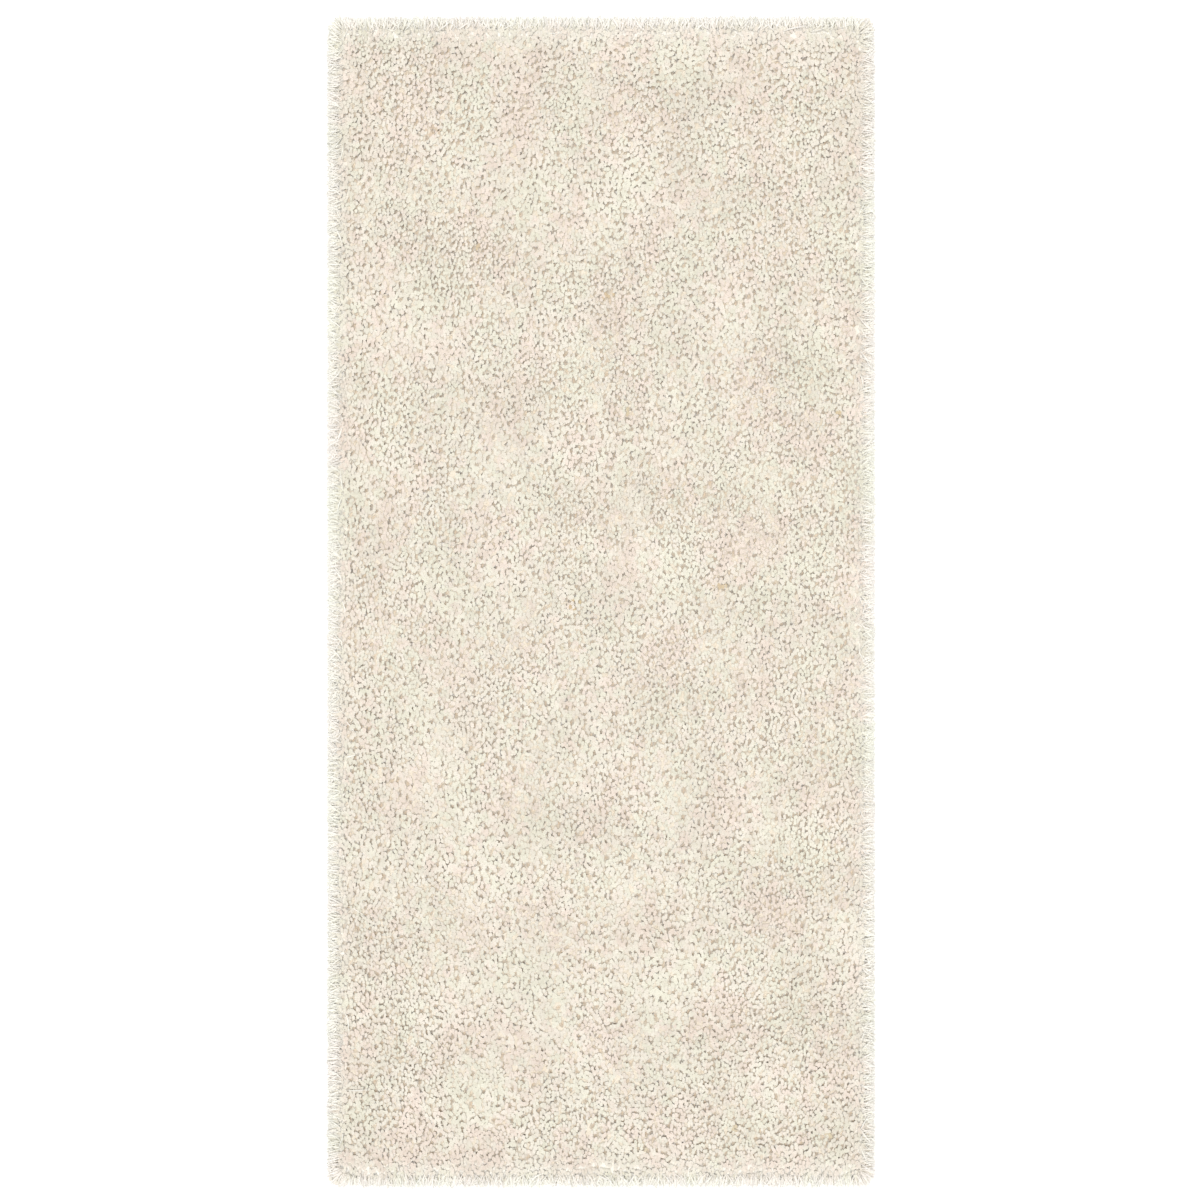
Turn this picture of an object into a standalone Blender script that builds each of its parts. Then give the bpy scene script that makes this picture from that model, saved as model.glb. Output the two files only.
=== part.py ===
# A cream shag rug lying flat on the floor, in metres, +Z up, with its origin under its middle.
# The long side runs along Y. A woven backing lies on the floor, and the pile stands on it:
# a lumpy slab whose rim locks splay outwards, droop and lie level on the floor.

import math
import random

import bmesh
import bpy
from mathutils import Matrix, Vector, noise

# The whole rug, over the tips of its rim locks
WIDTH = 0.70
LENGTH = 1.50

# The woven backing, and the gap that parts it from the pile
BACKING_THICK = 0.0025
BACKING_UNDER = 0.010  # how far its edge lies inside the slab's rim
BACKING_CORNER = 0.012
SOLID_GAP = 0.0003

# The slab of pile: its rim lies inside the rug's reach by the length of the locks
LOCK_REACH_SIDE = 0.015  # past the rim on the two long sides
LOCK_REACH_END = 0.027  # past the rim on the two short ends
SHOULDER_RUN = 0.024  # from the rim in to the edge of the flat top
RIM_CORNER = 0.016  # radius of the rim's corners
TOP_CORNER = 0.006  # radius of the flat top's corners
RIM_WANDER = 0.0012  # how far the rim strays in and out
RIM_WANDER_LENGTH = 0.036
RIM_HALF_X = WIDTH / 2 - LOCK_REACH_SIDE
RIM_HALF_Y = LENGTH / 2 - LOCK_REACH_END
PILE_BASE = BACKING_THICK + SOLID_GAP
PILE_TOP = 0.0370  # mean height of the clumps of tufts

# The lumps: clumps of tufts with dips between them, over a grid of cells
CELLS_ACROSS = 28
CELLS_ALONG = 60
STRAY = 0.0050  # how far a cell's corner strays sideways
CLUMP_SPREAD = 0.0018  # how unevenly high the clumps stand
DIP_SHARE = 0.34  # of the cells' corners that lie in a dip
DIP_LEAST = 0.0035
DIP_MOST = 0.0080
SWELL = 0.0016  # the slow rise and fall of the whole pile
SWELL_LENGTH = 0.22

# The slab's edge, from the border of its top, over the rounded shoulder, down to its underside
EDGE_ROWS = (
    # share of the way out, share of the pile's height
    (0.00, 1.00),
    (0.50, 0.93),
    (0.86, 0.72),
    (1.00, 0.40),
    (1.00, 0.00),
)
RIM_TOP_ROW = 3
RIM_SPLITS = 3  # rim faces to a cell, every second one the root of a lock
ON_EDGE = 1e-5  # a layout point this near its edge is on it

# A lock, from its root on the rim to its tip
LOCK_ROWS = (
    # share of the reach, width, height of its underside, height of its top
    (0.50, 0.0112, 0.0, 0.0086),
    (1.00, 0.0066, 0.0, 0.0032),
)
LOCK_SHORTEST = 0.70  # of the full reach
LOCK_LONGEST = 0.94  # of the full reach, but for the longest on each side, which is pulled out to it
LOCK_LEAN = math.radians(9)
CORNER_STRETCH = 1.12  # the locks that fan out round a corner are this much longer
CORNER_TURN = 0.2  # a lock that points at least this far off both axes is at a corner

# Shallow hollows where the pile parts and its dark roots show
HOLLOWS = (
    # x, y, radius, depth
    (-0.172, 0.438, 0.070, 0.0030),
    (0.014, 0.419, 0.060, 0.0020),
    (0.284, 0.192, 0.065, 0.0020),
    (-0.289, 0.672, 0.060, 0.0020),
    (0.250, 0.585, 0.075, 0.0022),
    (0.220, -0.091, 0.060, 0.0022),
    (0.250, -0.302, 0.070, 0.0022),
    (0.255, -0.533, 0.065, 0.0022),
    (0.200, -0.645, 0.070, 0.0022),
    (-0.241, -0.484, 0.065, 0.0020),
    (0.073, 0.129, 0.055, 0.0018),
    (0.073, -0.120, 0.055, 0.0018),
    (-0.260, -0.042, 0.060, 0.0018),
)

YARN_CREAM = (0.807, 0.737, 0.619)
BACKING_TAN = (0.455, 0.361, 0.245)
CLOTH_ROUGHNESS = 0.95

SEED = 11


def clear_scene():
    for item in list(bpy.data.objects):
        bpy.data.objects.remove(item, do_unlink=True)


def make_cloth(name, color):
    material = bpy.data.materials.new(name)
    material.use_nodes = True
    shader = material.node_tree.nodes["Principled BSDF"]
    shader.inputs["Base Color"].default_value = (*color, 1.0)
    shader.inputs["Roughness"].default_value = CLOTH_ROUGHNESS
    shader.inputs["Metallic"].default_value = 0.0
    return material


def add_object(name, bm, material, collection):
    mesh = bpy.data.meshes.new(name)
    bm.to_mesh(mesh)
    bm.free()
    mesh.materials.append(material)
    item = bpy.data.objects.new(name, mesh)
    collection.objects.link(item)
    return item


def make_backing(collection):
    """The ground cloth: one flat rectangle with eased corners, its underside on the floor."""
    width = 2 * (RIM_HALF_X - BACKING_UNDER)
    length = 2 * (RIM_HALF_Y - BACKING_UNDER)
    bm = bmesh.new()
    bmesh.ops.create_cube(bm, size=1.0)
    bmesh.ops.scale(bm, vec=(width, length, BACKING_THICK), verts=bm.verts)
    bmesh.ops.translate(bm, vec=(0, 0, BACKING_THICK / 2), verts=bm.verts)
    upright = [e for e in bm.edges if abs(e.verts[0].co.z - e.verts[1].co.z) > BACKING_THICK / 2]
    bmesh.ops.bevel(bm, geom=upright, offset=BACKING_CORNER, segments=4, profile=0.5, affect="EDGES")
    return add_object("backing", bm, make_cloth("backing_cloth", BACKING_TAN), collection)


def round_corner(x, y, half_x, half_y, radius):
    """Pulls a point of a rectangle's edge onto its rounded corner. Returns the point and its outward normal."""
    centre = Vector((math.copysign(half_x - radius, x), math.copysign(half_y - radius, y)))
    past_x = abs(x) - (half_x - radius)
    past_y = abs(y) - (half_y - radius)
    if past_x > 0 and past_y > 0:
        outward = (Vector((x, y)) - centre).normalized()
        return centre + outward * radius, outward
    if past_x > past_y:
        return Vector((x, y)), Vector((math.copysign(1, x), 0))
    return Vector((x, y)), Vector((0, math.copysign(1, y)))


def clump_height(rng):
    """A height above the mean: either on a clump of tufts or down in a dip between clumps."""
    if rng.random() < DIP_SHARE:
        return -rng.uniform(DIP_LEAST, DIP_MOST)
    return rng.uniform(-CLUMP_SPREAD, CLUMP_SPREAD)


def swell_at(x, y):
    """The slow rise and fall of the pile, with its hollows, as a height above the mean."""
    height = SWELL * noise.noise(Vector((x, y, 0)) / SWELL_LENGTH)
    for hollow_x, hollow_y, radius, depth in HOLLOWS:
        away = math.hypot(x - hollow_x, y - hollow_y) / radius
        height -= depth * math.exp(-away * away)
    return height


def lay_out_slab(bm):
    """The slab's faces, laid out with u and v from -1 to 1 as x and y, and the row's number as z.

    Row 0 is the whole top. Each later row is one ring of edges pulled out of the last one.
    Returns the faces of the rim that root a lock.
    """
    bmesh.ops.create_grid(bm, x_segments=CELLS_ACROSS, y_segments=CELLS_ALONG, size=1.0)
    for row in range(1, len(EDGE_ROWS)):
        if row == RIM_TOP_ROW + 1:
            bmesh.ops.subdivide_edges(bm, edges=open_edges(bm), cuts=RIM_SPLITS - 1)
        pulled = bmesh.ops.extrude_edge_only(bm, edges=open_edges(bm))["geom"]
        for item in pulled:
            if isinstance(item, bmesh.types.BMVert):
                item.co.z = row
    rim_faces = [edge.link_faces[0] for edge in open_edges(bm)]
    bmesh.ops.edgeloop_fill(bm, edges=open_edges(bm))
    return [face for face in rim_faces if is_lock_root(face)]


def open_edges(bm):
    return [edge for edge in bm.edges if edge.is_boundary]


def is_lock_root(face):
    """Every second face of the rim roots a lock, counted once round the rug."""
    centre = face.calc_center_median()
    u_share, v_share = (centre.x + 1) / 2, (centre.y + 1) / 2
    if abs(v_share - 0.5) > 0.5 - ON_EDGE:
        cells = CELLS_ACROSS * (u_share if v_share < 0.5 else 1 - u_share)
    else:
        cells = CELLS_ALONG * (v_share if u_share > 0.5 else 1 - v_share)
    return int(cells * RIM_SPLITS) % 2 == 0


def place_slab(bm, rng):
    """Moves each vertex of the layout to its real place."""
    for vert in bm.verts:
        u, v, row = vert.co.x, vert.co.y, round(vert.co.z)
        out, height_share = EDGE_ROWS[row]
        half_x = RIM_HALF_X - SHOULDER_RUN * (1 - out)
        half_y = RIM_HALF_Y - SHOULDER_RUN * (1 - out)
        place = Vector((u * half_x, v * half_y))
        if max(abs(u), abs(v)) > 1 - ON_EDGE:
            radius = TOP_CORNER + (RIM_CORNER - TOP_CORNER) * out
            place, outward = round_corner(place.x, place.y, half_x, half_y, radius)
            wander = noise.noise(Vector((place.x, place.y, row)) / RIM_WANDER_LENGTH)
            place += outward * RIM_WANDER * wander
        else:
            place += Vector((rng.uniform(-1, 1), rng.uniform(-1, 1))) * STRAY
        height = PILE_TOP + swell_at(place.x, place.y)
        if row == 0:
            height += clump_height(rng)
        elif row < RIM_TOP_ROW:
            height += rng.uniform(-CLUMP_SPREAD, CLUMP_SPREAD)
        vert.co = (place.x, place.y, PILE_BASE + (height - PILE_BASE) * height_share)


def outward_at(centre):
    """The direction straight out of the rim at a point on it."""
    return round_corner(centre.x, centre.y, RIM_HALF_X, RIM_HALF_Y, RIM_CORNER)[1]


def grow_lock(bm, root, reach, lean):
    """Pulls one face of the rim outwards and down into a lock that tapers and ends level on the floor."""
    centre = root.calc_center_median()
    along = outward_at(centre)
    along.rotate(Matrix.Rotation(lean, 2))
    across = Vector((-along.y, along.x))
    face = root
    for share, width, under, top in LOCK_ROWS:
        face = bmesh.ops.extrude_discrete_faces(bm, faces=[face])["faces"][0]
        middle = face.calc_center_median()
        for vert in face.verts:
            side = math.copysign(1, (vert.co - middle).xy.dot(across))
            height = top if vert.co.z > middle.z else under
            place = centre.xy + along * reach * share + across * side * width / 2
            vert.co = (place.x, place.y, height)


def lock_reach(root, rng):
    """How far a lock reaches past the rim."""
    outward = outward_at(root.calc_center_median())
    reach = Vector((outward.x * LOCK_REACH_SIDE, outward.y * LOCK_REACH_END)).length
    if min(abs(outward.x), abs(outward.y)) > CORNER_TURN:
        reach *= CORNER_STRETCH
    return reach * rng.uniform(LOCK_SHORTEST, LOCK_LONGEST)


def make_pile(collection):
    """The lumpy slab of pile with the locks at its rim, one closed body."""
    rng = random.Random(SEED)
    bm = bmesh.new()
    lock_roots = lay_out_slab(bm)
    place_slab(bm, rng)
    for root in lock_roots:
        grow_lock(bm, root, lock_reach(root, rng), rng.uniform(-LOCK_LEAN, LOCK_LEAN))
    stretch_to_reach(bm)
    bmesh.ops.recalc_face_normals(bm, faces=bm.faces)
    for face in bm.faces:
        face.smooth = True
    return add_object("pile", bm, make_cloth("shag_yarn", YARN_CREAM), collection)


def stretch_to_reach(bm):
    """Pulls the longest lock of each side out to the rug's full width and length."""
    for axis, half in ((0, WIDTH / 2), (1, LENGTH / 2)):
        for sign in (-1, 1):
            farthest = max(bm.verts, key=lambda vert: sign * vert.co[axis])
            tip = max(farthest.link_faces, key=lambda face: sign * face.calc_center_median()[axis])
            for vert in tip.verts:
                vert.co[axis] = sign * half


def main():
    clear_scene()
    collection = bpy.data.collections.new("shag_rug")
    bpy.context.scene.collection.children.link(collection)
    make_backing(collection)
    make_pile(collection)


main()
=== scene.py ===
import math

import bpy
import numpy as np
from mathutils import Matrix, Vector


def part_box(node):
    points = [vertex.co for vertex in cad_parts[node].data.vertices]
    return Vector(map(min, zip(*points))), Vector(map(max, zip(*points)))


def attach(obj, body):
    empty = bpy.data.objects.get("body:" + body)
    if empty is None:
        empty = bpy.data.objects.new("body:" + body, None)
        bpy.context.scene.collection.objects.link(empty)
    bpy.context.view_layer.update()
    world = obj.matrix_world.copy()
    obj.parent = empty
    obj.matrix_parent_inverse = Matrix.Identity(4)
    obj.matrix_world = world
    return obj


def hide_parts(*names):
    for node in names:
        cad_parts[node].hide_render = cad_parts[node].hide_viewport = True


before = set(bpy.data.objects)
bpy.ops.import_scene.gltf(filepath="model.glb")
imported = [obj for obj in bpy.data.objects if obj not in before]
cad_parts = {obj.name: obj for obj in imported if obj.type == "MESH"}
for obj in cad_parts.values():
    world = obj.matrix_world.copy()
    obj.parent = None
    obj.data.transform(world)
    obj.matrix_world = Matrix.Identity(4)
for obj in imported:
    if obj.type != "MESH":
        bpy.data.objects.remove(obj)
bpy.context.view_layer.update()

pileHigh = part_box("pile")[1]
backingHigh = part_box("backing")[1]
halfWidth, halfLength = pileHigh[0], pileHigh[1]  # the rug's reach, over the tips of its rim
backingHalfWidth, backingHalfLength, backingTop = backingHigh
white = (1, 1, 1, 1)
print("frame loaded, rug", round(2 * halfWidth, 3), "by", round(2 * halfLength, 3), "m")


# camera, straight above the rug as in the photo

cameraSetup = {
    "lens": 120.0,  # millimetres, as the sensor
    "sensor": 36.0,
    "viewWidth": 1.5365,  # metres across the frame at the height of the pile's tips
    "tipLevel": 0.030,
    "offset": (-0.0013, 0.0026),  # the rug sits a touch right of and below the middle
    "farthest": 50,  # how far the camera sees
}


def addCamera(setup):
    data = bpy.data.cameras.new("camera")
    data.lens = setup["lens"]
    data.sensor_width = setup["sensor"]
    data.clip_end = setup["farthest"]
    camera = bpy.data.objects.new("camera", data)
    distance = setup["viewWidth"] * setup["lens"] / setup["sensor"]
    camera.location = (*setup["offset"], setup["tipLevel"] + distance)
    bpy.context.scene.collection.objects.link(camera)
    bpy.context.scene.camera = camera


addCamera(cameraSetup)


# studio: a pale floor under even, soft light from above

studio = {
    "floorSize": 32.0,
    "floorDrop": 0.0004,  # so that the floor and the cloth on it don't share a plane
    "floorColor": (0.92, 0.92, 0.92, 1),
    "floorRoughness": 0.9,
    "floorShine": 0.1,
    "floorGlow": 0.24,  # a light table's faint light, which keeps the shade round the rug soft
    "skyStrength": 0.68,
    "sunStrength": 2.30,
    "sunTilt": (1, -1.5),  # degrees, about x and y
    "sunSpread": 15,  # degrees
}


def addStudio(setup):
    half = setup["floorSize"] / 2
    mesh = bpy.data.meshes.new("floor")
    corners = [(-half, -half), (half, -half), (half, half), (-half, half)]
    mesh.from_pydata([(x, y, -setup["floorDrop"]) for x, y in corners], [], [(0, 1, 2, 3)])
    floor = bpy.data.objects.new("floor", mesh)
    bpy.context.scene.collection.objects.link(floor)
    material = bpy.data.materials.new("floorWhite")
    material.use_nodes = True
    shader = material.node_tree.nodes["Principled BSDF"]
    shader.inputs["Base Color"].default_value = setup["floorColor"]
    shader.inputs["Roughness"].default_value = setup["floorRoughness"]
    shader.inputs["Specular IOR Level"].default_value = setup["floorShine"]
    shader.inputs["Emission Color"].default_value = white
    shader.inputs["Emission Strength"].default_value = setup["floorGlow"]
    mesh.materials.append(material)

    world = bpy.data.worlds.new("studio")
    world.use_nodes = True
    sky = world.node_tree.nodes["Background"]
    sky.inputs["Color"].default_value = white
    sky.inputs["Strength"].default_value = setup["skyStrength"]
    bpy.context.scene.world = world

    sun = bpy.data.lights.new("softSun", "SUN")
    sun.energy = setup["sunStrength"]
    sun.angle = math.radians(setup["sunSpread"])
    sunObject = bpy.data.objects.new("softSun", sun)
    tiltX, tiltY = setup["sunTilt"]
    sunObject.rotation_euler = (math.radians(tiltX), math.radians(tiltY), 0)
    bpy.context.scene.collection.objects.link(sunObject)
    bpy.context.scene.view_settings.view_transform = "Standard"


addStudio(studio)
print("camera and studio ready")


# how the pile lies: slow changes of lean, height, fullness and tone over the rug

layOfPile = {
    "seed": 7,
    "clumpSize": 0.022,  # yarns lean together over about this far
    "driftSize": 0.13,  # and a little over this far
    "clumpLean": 0.22,
    "driftLean": 0.20,
    "looseLean": (0.22, 0.85),  # each yarn's own lean, across and along the rug
    "heightClump": 0.0006,
    "heightDrift": 0.0008,
    "fullSizes": (0.030, 0.09),  # sizes of small and large changes: of the yarns' thickness
    "shadeSizes": (0.012, 0.07),  # of their shade
    "warmSizes": (0.014, 0.06),  # of their warmth
    "pitSizes": (0.009, 0.06),  # of the pits' sizes, and of how many there are
    "waves": 24,  # waves that make up one field of changes
    "waveLengths": (1.4, 3.2),  # times the field's size
    "fullClump": 0.035,  # change of a yarn's thickness, as a share of it
    "fullDrift": 0.045,
    # hollows where the pile parts and more shade shows: x, y, radius, how much shorter it stands
    "hollows": (
        (-0.172, 0.438, 0.070, 0.0030),
        (0.014, 0.419, 0.060, 0.0022),
        (0.284, 0.192, 0.065, 0.0022),
        (-0.289, 0.672, 0.060, 0.0022),
        (0.250, 0.590, 0.080, 0.0032),
        (0.220, -0.091, 0.060, 0.0024),
        (0.250, -0.302, 0.070, 0.0024),
        (0.255, -0.533, 0.065, 0.0024),
        (0.200, -0.640, 0.080, 0.0036),
        (-0.241, -0.484, 0.065, 0.0022),
        (0.073, 0.129, 0.055, 0.0020),
        (0.073, -0.120, 0.055, 0.0020),
        (-0.260, -0.042, 0.060, 0.0020),
        (0.230, 0.120, 0.085, 0.0034),
        (-0.050, 0.275, 0.060, 0.0020),
        (-0.225, 0.500, 0.055, 0.0018),
    ),
    "partingLean": 0.35,  # how hard yarns lean away from a hollow's middle
    "hollowThin": 0.06,  # how much thinner they are there
    # fuller places, where the tips close up and the rug looks lighter: x, y, radius
    "fuller": (
        (-0.123, 0.535, 0.060),
        (-0.024, 0.487, 0.055),
        (-0.289, 0.369, 0.060),
        (-0.128, 0.183, 0.030),
        (0.063, 0.055, 0.040),
        (-0.192, -0.072, 0.060),
        (-0.195, -0.240, 0.070),
        (0.113, -0.297, 0.060),
        (-0.163, -0.601, 0.060),
        (-0.045, -0.560, 0.070),
        (0.083, -0.533, 0.055),
        (-0.160, -0.345, 0.075),
        (-0.130, -0.485, 0.070),
        (0.030, -0.420, 0.065),
    ),
    "fullerThick": 0.06,
    # tan tufts: x, y, half their size across and along the rug, how tan
    "tanTufts": (
        (-0.216, 0.602, 0.0085, 0.0062, 0.45),
        (0.151, 0.017, 0.0105, 0.0034, 0.75),
        (0.010, 0.391, 0.0062, 0.0052, 0.80),
        (-0.035, -0.003, 0.0072, 0.0042, 0.90),
        (-0.283, 0.638, 0.0036, 0.0080, 0.40),
        (-0.159, 0.456, 0.0040, 0.0056, 0.70),
        (0.172, -0.675, 0.0042, 0.0046, 0.60),
        (0.306, 0.243, 0.0042, 0.0040, 0.80),
        (-0.050, -0.061, 0.0036, 0.0040, 0.40),
        (0.059, -0.697, 0.0034, 0.0052, 0.50),
        (0.036, 0.242, 0.0040, 0.0034, 0.65),
        (0.293, -0.685, 0.0040, 0.0040, 0.60),
    ),
}

rng = np.random.default_rng(layOfPile["seed"])


def waveField(size):
    # a smooth random field with features of about this size, as a function of x and y
    waves = layOfPile["waves"]
    angle = rng.uniform(0, 2 * math.pi, waves)
    number = 2 * math.pi / (size * rng.uniform(*layOfPile["waveLengths"], waves))
    kx, ky = number * np.cos(angle), number * np.sin(angle)
    phase = rng.uniform(0, 2 * math.pi, waves)

    def field(x, y):
        total = np.zeros_like(x)
        for i in range(waves):
            total += np.cos(kx[i] * x + ky[i] * y + phase[i])
        return total * math.sqrt(2 / waves)

    return field


clumpSize, driftSize = layOfPile["clumpSize"], layOfPile["driftSize"]
clumpX, clumpY = waveField(clumpSize), waveField(clumpSize)
driftX, driftY = waveField(driftSize), waveField(driftSize)
heightClump, heightDrift = waveField(clumpSize), waveField(driftSize)
fullClump, fullDrift = [waveField(size) for size in layOfPile["fullSizes"]]
shadeClump, shadeDrift = [waveField(size) for size in layOfPile["shadeSizes"]]
warmClump, warmDrift = [waveField(size) for size in layOfPile["warmSizes"]]
pitDrift, sizeClump = [waveField(size) for size in reversed(layOfPile["pitSizes"])]


def nearness(x, y, spotX, spotY, radius):
    return np.exp(-((x - spotX) ** 2 + (y - spotY) ** 2) / radius**2)


def leanAt(x, y):
    # the shared lean of the yarns round a place, as a vector where 1 is a strong lean
    way = layOfPile
    leanX = way["clumpLean"] * clumpX(x, y) + way["driftLean"] * driftX(x, y)
    leanY = way["clumpLean"] * clumpY(x, y) + way["driftLean"] * driftY(x, y)
    for holeX, holeY, radius, _ in way["hollows"]:
        push = way["partingLean"] * nearness(x, y, holeX, holeY, radius) / radius
        leanX += push * (x - holeX)
        leanY += push * (y - holeY)
    return leanX, leanY


def heightAt(x, y):
    # how much longer or shorter the yarns are round a place
    way = layOfPile
    change = way["heightClump"] * heightClump(x, y) + way["heightDrift"] * heightDrift(x, y)
    for holeX, holeY, radius, depth in way["hollows"]:
        change -= depth * nearness(x, y, holeX, holeY, radius)
    return change


def fullnessAt(x, y):
    # how thick the yarns are round a place, as a share of the usual
    way = layOfPile
    full = 1 + way["fullClump"] * fullClump(x, y) + way["fullDrift"] * fullDrift(x, y)
    for holeX, holeY, radius, _ in way["hollows"]:
        full -= way["hollowThin"] * nearness(x, y, holeX, holeY, radius)
    for spotX, spotY, radius in way["fuller"]:
        full += way["fullerThick"] * nearness(x, y, spotX, spotY, radius)
    return full


# the lower part of the pile, which shows only as soft shade between the tips

lowerPile = {
    "height": 0.0298,  # over the floor
    "unevenness": 0.0005,
    "dipDepth": 0.0096,  # of the small dips under the pits
    "outlineInset": (0.005, 0.009),  # from the rug's outline, at the sides and at the ends
    "run": (0.034, 0.044),  # how far in from there it rises to its full height
    # share of that run, share of the height
    "rise": ((0.0, 0.20), (0.05, 0.54), (0.15, 0.80), (0.35, 0.94), (1.0, 1.0)),
    "cornerRadius": 0.016,
    "dipFade": 2,  # the dips reach their full depth at half of the run in
    "skirt": 0.0006,  # height of its underside, round the backing
    "overBacking": (0.0004, 0.0003),  # room left over the backing, of its top and its underside
    "besideBacking": 0.0004,
    "lightColor": (0.786, 0.720, 0.614, 1),
    "darkColor": (0.734, 0.663, 0.551, 1),
    # painted shade: the lower pile is coloured darker in the dips under the pits
    "dipShadeColor": (0.745, 0.65, 0.525, 1),
    # the edge's colour is paler: partly the yarn's own, partly painted light that lifts the shade on the
    # steep shoulder
    "edgePaleAndLitColor": (0.93, 0.905, 0.85, 1),
    "edgeRun": (0.25, 0.75),  # share of the run in over which the edge's paler colour and painted light fade out
    "edgeDark": 0.94,  # its darker grains, as a share of it
    "grain": 320,
    "grainRange": (0.32, 0.66),
    "grainDepth": 0.0012,
    "dipDark": 0.8,  # share of a dip's depth where its painted shade is full
    "roughness": 0.95,
    "sheen": 0.6,
}


def lowerRise(x, y):
    # the lower pile's rise from the outline inwards, from 0 to 1, and the share of the run in
    setup = lowerPile
    insetX, insetY = setup["outlineInset"]
    inX = np.clip((halfWidth - insetX - np.abs(x)) / setup["run"][0], 0, 1)
    inY = np.clip((halfLength - insetY - np.abs(y)) / setup["run"][1], 0, 1)
    inward = 1 - np.clip(np.hypot(1 - inX, 1 - inY), 0, 1)
    stops, heights = np.array(setup["rise"]).T
    return np.interp(inward, stops, heights), inward


tiny = 1e-9  # keeps a division from ending in nothing
leastReach = 0.05  # the least that a squeezed yarn keeps of its reach


def holdIn(points, limitX, limitY):
    # squeezes yarns along x and y so that none runs out over the outline
    for axis, limit in ((0, limitX), (1, limitY)):
        place = points[:, :, axis]
        root = place[:, :1]
        limit = np.broadcast_to(limit, len(place))[:, None]
        over = np.max(np.abs(place), axis=1, keepdims=True) > limit
        reach = np.max(np.abs(place - root), axis=1, keepdims=True) + tiny
        share = np.clip((limit - np.abs(root)) / reach, leastReach, 1)
        points[:, :, axis] = np.where(over, root + (place - root) * share, place)


# pits: small places among the yarns where none stands and shade shows; the yarns crowd round them and the
# lower pile dips under them

pits = {
    "pitch": (0.0066, 0.0094),  # across and along the rug
    "jitter": 0.54,  # share of the pitch
    "halfSize": (0.0031, 0.0048),  # to the middles of the yarns round a pit
    "sideHalfSize": (0.0043, 0.0034),  # the same at the long sides, where the yarns lie across the rug
    "sideRun": 0.045,  # how far in from the long sides that begins
    "sizes": (0.30, 1.05),  # shares of the half size
    "sizeClump": 0.30,  # how much the pits' sizes change together from place to place
    "sizeLimits": (0.2, 1.3),
    "most": 0.75,  # share of the way to the next pit that a pit may take
    "share": 0.90,  # of the possible places that hold a pit
    "shareDrift": 0.22,  # how much that share changes over the rug
    "fullerLoss": 0.36,  # how much less it is in the fuller places
    "outOfReach": 9,  # added to how far a place is that holds no pit
    "nearest": 1e-6,
}


def placePits(setup):
    # in staggered columns over the whole lower pile
    insetX, insetY = lowerPile["outlineInset"]
    halfX, halfY = halfWidth - insetX, halfLength - insetY
    countX, countY = round(2 * halfX / setup["pitch"][0]), round(2 * halfY / setup["pitch"][1])
    pitchX, pitchY = 2 * halfX / countX, 2 * halfY / countY
    column, place = np.meshgrid(np.arange(countX), np.arange(countY), indexing="ij")
    moveX = rng.uniform(-1, 1, column.shape) * setup["jitter"] * pitchX
    moveY = rng.uniform(-1, 1, column.shape) * setup["jitter"] * pitchY
    x = -halfX + (column + 0.5) * pitchX + moveX
    y = -halfY + (place + 0.5 + 0.5 * (column % 2)) * pitchY + moveY
    share = setup["share"] + setup["shareDrift"] * pitDrift(x, y)
    for spotX, spotY, radius in layOfPile["fuller"]:
        share -= setup["fullerLoss"] * nearness(x, y, spotX, spotY, radius)
    size = rng.uniform(*setup["sizes"], x.shape) + setup["sizeClump"] * sizeClump(x, y)
    return {
        "pitch": (pitchX, pitchY),
        "x": x,
        "y": y,
        "moveX": moveX,
        "moveY": moveY,
        "size": np.clip(size, *setup["sizeLimits"]),
        "open": rng.random(x.shape) < share,
    }


pitPlaces = placePits(pits)


def crowdRound(x, y, setup):
    # how far the yarns at x, y are moved aside by the nearest pit
    places = pitPlaces
    pitchX, pitchY = places["pitch"]
    countX, countY = places["x"].shape
    halfX, halfY = countX * pitchX / 2, countY * pitchY / 2
    beside = np.clip((np.abs(x) - halfX + setup["sideRun"]) / setup["sideRun"], 0, 1)
    sizeX = setup["halfSize"][0] * (1 - beside) + setup["sideHalfSize"][0] * beside
    sizeY = setup["halfSize"][1] * (1 - beside) + setup["sideHalfSize"][1] * beside
    i = np.floor((x + halfX) / pitchX).astype(int)
    j = np.floor((y + halfY) / pitchY).astype(int)
    offsets = []
    for besideX in (-1, 0, 1):
        for besideY in (-1, 0, 1):
            own = np.clip(i + besideX, 0, countX - 1), np.clip(j + besideY, 0, countY - 1)
            offX, offY = x - places["x"][own], y - places["y"][own]
            far = np.hypot(offX / sizeX, offY / sizeY) + setup["nearest"]
            far += np.where(places["open"][own], 0, setup["outOfReach"])
            offsets.append(np.stack([far, offX, offY, places["size"][own]]))
    offsets = np.stack(offsets)
    order = np.argsort(offsets[:, 0], axis=0)
    everyone = np.arange(len(x))
    far, offX, offY, hole = offsets[order[0], :, everyone].T
    halfWay = (far + offsets[order[1], 0, everyone]) / 2
    hole = np.minimum(hole, setup["most"] * halfWay)
    grow = np.where(far < setup["outOfReach"], hole / far - hole / halfWay, 0)
    return offX * grow, offY * grow


# yarns: thin closed tubes, blunt or with a fine tip, many to a mesh

yarnShape = {
    "curlTurns": 0.75,  # how far a curl swings from the root to the tip, in turns
    "twist": 0.5,  # turn of each ring against the one before, in radians
    "mapRoom": 0.08,  # room round a yarn's square in the baking map
    "mapShare": 0.84,
}


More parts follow.
